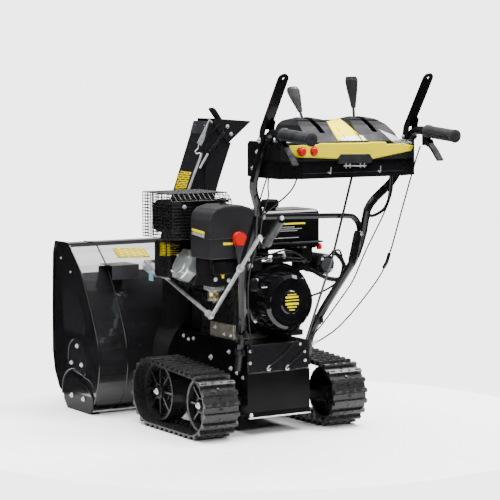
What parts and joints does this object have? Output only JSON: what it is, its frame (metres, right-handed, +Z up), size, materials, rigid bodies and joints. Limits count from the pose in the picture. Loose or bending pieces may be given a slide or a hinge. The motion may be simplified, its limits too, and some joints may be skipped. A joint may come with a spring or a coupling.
{
  "type": "two stage snowblower",
  "caption": "Walk-behind snowblower on two rubber tracks: auger housing and turning chute in front, engine amidships, handlebars with a dash, paddle levers and gear levers behind.",
  "frame": {"origin": "on the ground at the middle of the machine's bounding box", "axes": "+X to the operator's right, +Y forward towards the auger housing, +Z up"},
  "size_m": [0.712, 1.479, 1.1234],
  "materials": {
    "gloss_black_paint": "gloss",
    "satin_black_paint": "satin",
    "black_plastic": "satin",
    "grey_plastic": "satin",
    "black_rubber": "matt",
    "zinc_plate": "bright zinc",
    "cast_aluminium": "as cast",
    "heatproof_steel": "matt heatproof",
    "red_plastic": "gloss"
  },
  "bodies": {
    "chassis": {"auger_housing": "gloss_black_paint", "side_plate_left": "gloss_black_paint", "side_plate_right": "gloss_black_paint", "skid_shoe_left": "gloss_black_paint", "skid_shoe_right": "gloss_black_paint", "impeller_housing": "gloss_black_paint", "tractor_frame": "satin_black_paint", "track_frame_left": "satin_black_paint", "track_frame_right": "satin_black_paint", "belt_cover": "satin_black_paint", "handle_left": "satin_black_paint", "handle_right": "satin_black_paint", "handle_crossbar": "satin_black_paint", "fan_shroud": "black_plastic", "recoil_starter": "black_plastic", "fuel_tank": "black_plastic", "starter_motor": "black_plastic", "dash_tray": "black_plastic", "headlamp": "black_plastic", "clutch_cable": "black_plastic", "steering_cable": "black_plastic", "carb_cover": "grey_plastic", "dash_cover": "grey_plastic", "track_left": "black_rubber", "track_right": "black_rubber", "grip_left": "black_rubber", "grip_right": "black_rubber", "scraper_bar": "zinc_plate", "worm_bracket": "zinc_plate", "crank_eye": "zinc_plate", "carburetor": "zinc_plate", "muffler_guard": "zinc_plate", "auger_gearbox": "cast_aluminium", "engine_block": "cast_aluminium", "rocker_cover": "cast_aluminium", "muffler": "heatproof_steel"},
    "augers": {"auger_left": "gloss_black_paint", "auger_right": "gloss_black_paint"},
    "impeller": {"impeller": "gloss_black_paint"},
    "chute": {"chute": "gloss_black_paint"},
    "deflector": {"deflector": "gloss_black_paint"},
    "worm_rod": {"worm_rod": "zinc_plate"},
    "crank": {"crank_rod": "zinc_plate"},
    "crank_grip": {"crank_grip": "black_plastic"},
    "wheel_front_left": {"wheel_front_left": "black_plastic"},
    "wheel_front_right": {"wheel_front_right": "black_plastic"},
    "wheel_rear_left": {"wheel_rear_left": "black_plastic"},
    "wheel_rear_right": {"wheel_rear_right": "black_plastic"},
    "recoil_grip": {"recoil_grip": "black_plastic"},
    "fuel_cap": {"fuel_cap": "black_plastic"},
    "choke_lever": {"choke_lever": "grey_plastic"},
    "light_button": {"light_button": "red_plastic"},
    "heater_button": {"heater_button": "red_plastic"},
    "shift_lever_left": {"shift_lever_left": "grey_plastic"},
    "shift_lever_right": {"shift_lever_right": "grey_plastic"},
    "paddle_left": {"paddle_lever_left": "satin_black_paint"},
    "paddle_right": {"paddle_lever_right": "satin_black_paint"},
    "trigger_left": {"trigger_left": "grey_plastic"},
    "trigger_right": {"trigger_right": "grey_plastic"},
    "shift_rod": {"shift_rod": "zinc_plate"}
  },
  "joints": [
    {"name": "auger_spin", "type": "hinge", "parent": "chassis", "child": "augers", "pos_m": [0, 0.546, 0.181], "axis": [1, 0, 0], "continuous": true},
    {"name": "impeller_spin", "type": "hinge", "parent": "chassis", "child": "impeller", "pos_m": [0, 0.34, 0.181], "axis": [0, 1, 0], "continuous": true},
    {"name": "chute_turn", "type": "hinge", "parent": "chassis", "child": "chute", "pos_m": [-0.05, 0.362, 0.4823], "axis": [0, 0, 1], "range_deg": [0, 180]},
    {"name": "deflector_tilt", "type": "hinge", "parent": "chute", "child": "deflector", "pos_m": [0.042, 0.362, 0.968], "axis": [0, -1, 0], "range_deg": [0, 40]},
    {"name": "worm_turn", "type": "hinge", "parent": "chassis", "child": "worm_rod", "pos_m": [-0.1565, 0.36, 0.484], "axis": [-0.0138, -0.9535, -0.3011], "range_deg": [0, 7200]},
    {"name": "crank_turn", "type": "hinge", "parent": "chassis", "child": "crank", "pos_m": [-0.162, -0.02, 0.364], "axis": [-0.1809, -0.832, 0.5245], "range_deg": [0, 7200]},
    {"name": "crank_grip_spin", "type": "hinge", "parent": "crank", "child": "crank_grip", "pos_m": [-0.25959, -0.51035, 0.63338], "axis": [-0.1809, -0.832, 0.5245], "continuous": true},
    {"name": "wheel_front_left_spin", "type": "hinge", "parent": "chassis", "child": "wheel_front_left", "pos_m": [-0.235, 0.158, 0.111], "axis": [1, 0, 0], "continuous": true},
    {"name": "wheel_rear_left_spin", "type": "hinge", "parent": "chassis", "child": "wheel_rear_left", "pos_m": [-0.235, -0.113, 0.103], "axis": [1, 0, 0], "continuous": true},
    {"name": "wheel_front_right_spin", "type": "hinge", "parent": "chassis", "child": "wheel_front_right", "pos_m": [0.235, 0.158, 0.111], "axis": [1, 0, 0], "continuous": true},
    {"name": "wheel_rear_right_spin", "type": "hinge", "parent": "chassis", "child": "wheel_rear_right", "pos_m": [0.235, -0.113, 0.103], "axis": [1, 0, 0], "continuous": true},
    {"name": "recoil_pull", "type": "slide", "parent": "chassis", "child": "recoil_grip", "axis": [0, -0.96, 0.28], "range_m": [0, 0.5], "stiffness_N_per_m": 30, "springref_m": -0.1},
    {"name": "fuel_cap_turn", "type": "hinge", "parent": "chassis", "child": "fuel_cap", "pos_m": [0.06, -0.01, 0.699], "axis": [0, 0, 1], "range_deg": [0, 90]},
    {"name": "choke_swing", "type": "hinge", "parent": "chassis", "child": "choke_lever", "pos_m": [-0.093, -0.096, 0.508], "axis": [0, 1, 0], "range_deg": [-18, 18]},
    {"name": "light_press", "type": "slide", "parent": "chassis", "child": "light_button", "axis": [0, 1, 0], "range_m": [0, 0.003], "stiffness_N_per_m": 800, "springref_m": -0.002},
    {"name": "heater_press", "type": "slide", "parent": "chassis", "child": "heater_button", "axis": [0, 1, 0], "range_m": [0, 0.003], "stiffness_N_per_m": 800, "springref_m": -0.002},
    {"name": "shift_lever_left_swing", "type": "hinge", "parent": "chassis", "child": "shift_lever_left", "pos_m": [-0.092, -0.505, 0.885], "axis": [1, 0, 0], "range_deg": [0, 55]},
    {"name": "shift_lever_right_swing", "type": "hinge", "parent": "chassis", "child": "shift_lever_right", "pos_m": [0.092, -0.505, 0.885], "axis": [1, 0, 0], "range_deg": [0, 55]},
    {"name": "shift_rod_slide", "type": "slide", "parent": "chassis", "child": "shift_rod", "axis": [0, -0.3881, 0.9216], "range_m": [-0.04, 0.04]},
    {"name": "paddle_left_squeeze", "type": "hinge", "parent": "chassis", "child": "paddle_left", "pos_m": [-0.253, -0.4995, 0.932], "axis": [1, 0, 0], "range_deg": [0, 34], "stiffness_Nm_per_rad": 2, "springref_deg": -28.65},
    {"name": "paddle_right_squeeze", "type": "hinge", "parent": "chassis", "child": "paddle_right", "pos_m": [0.253, -0.4995, 0.932], "axis": [1, 0, 0], "range_deg": [0, 34], "stiffness_Nm_per_rad": 2, "springref_deg": -28.65},
    {"name": "trigger_left_squeeze", "type": "hinge", "parent": "chassis", "child": "trigger_left", "pos_m": [-0.253, -0.597, 0.92], "axis": [1, 0, 0], "range_deg": [-35, 0], "stiffness_Nm_per_rad": 0.6, "springref_deg": 20.05},
    {"name": "trigger_right_squeeze", "type": "hinge", "parent": "chassis", "child": "trigger_right", "pos_m": [0.253, -0.597, 0.92], "axis": [1, 0, 0], "range_deg": [-35, 0], "stiffness_Nm_per_rad": 0.6, "springref_deg": 20.05}
  ],
  "couplings": [
    {"joint": "impeller_spin", "follows": "auger_spin", "ratio": 10},
    {"joint": "worm_turn", "follows": "chute_turn", "ratio": 40},
    {"joint": "crank_turn", "follows": "chute_turn", "ratio": 40},
    {"joint": "wheel_front_left_spin", "follows": "wheel_rear_left_spin", "ratio": 0.9163},
    {"joint": "wheel_front_right_spin", "follows": "wheel_rear_right_spin", "ratio": 0.9163},
    {"joint": "shift_rod_slide", "follows": "shift_lever_right_swing", "m_per_rad": 0.037}
  ]
}
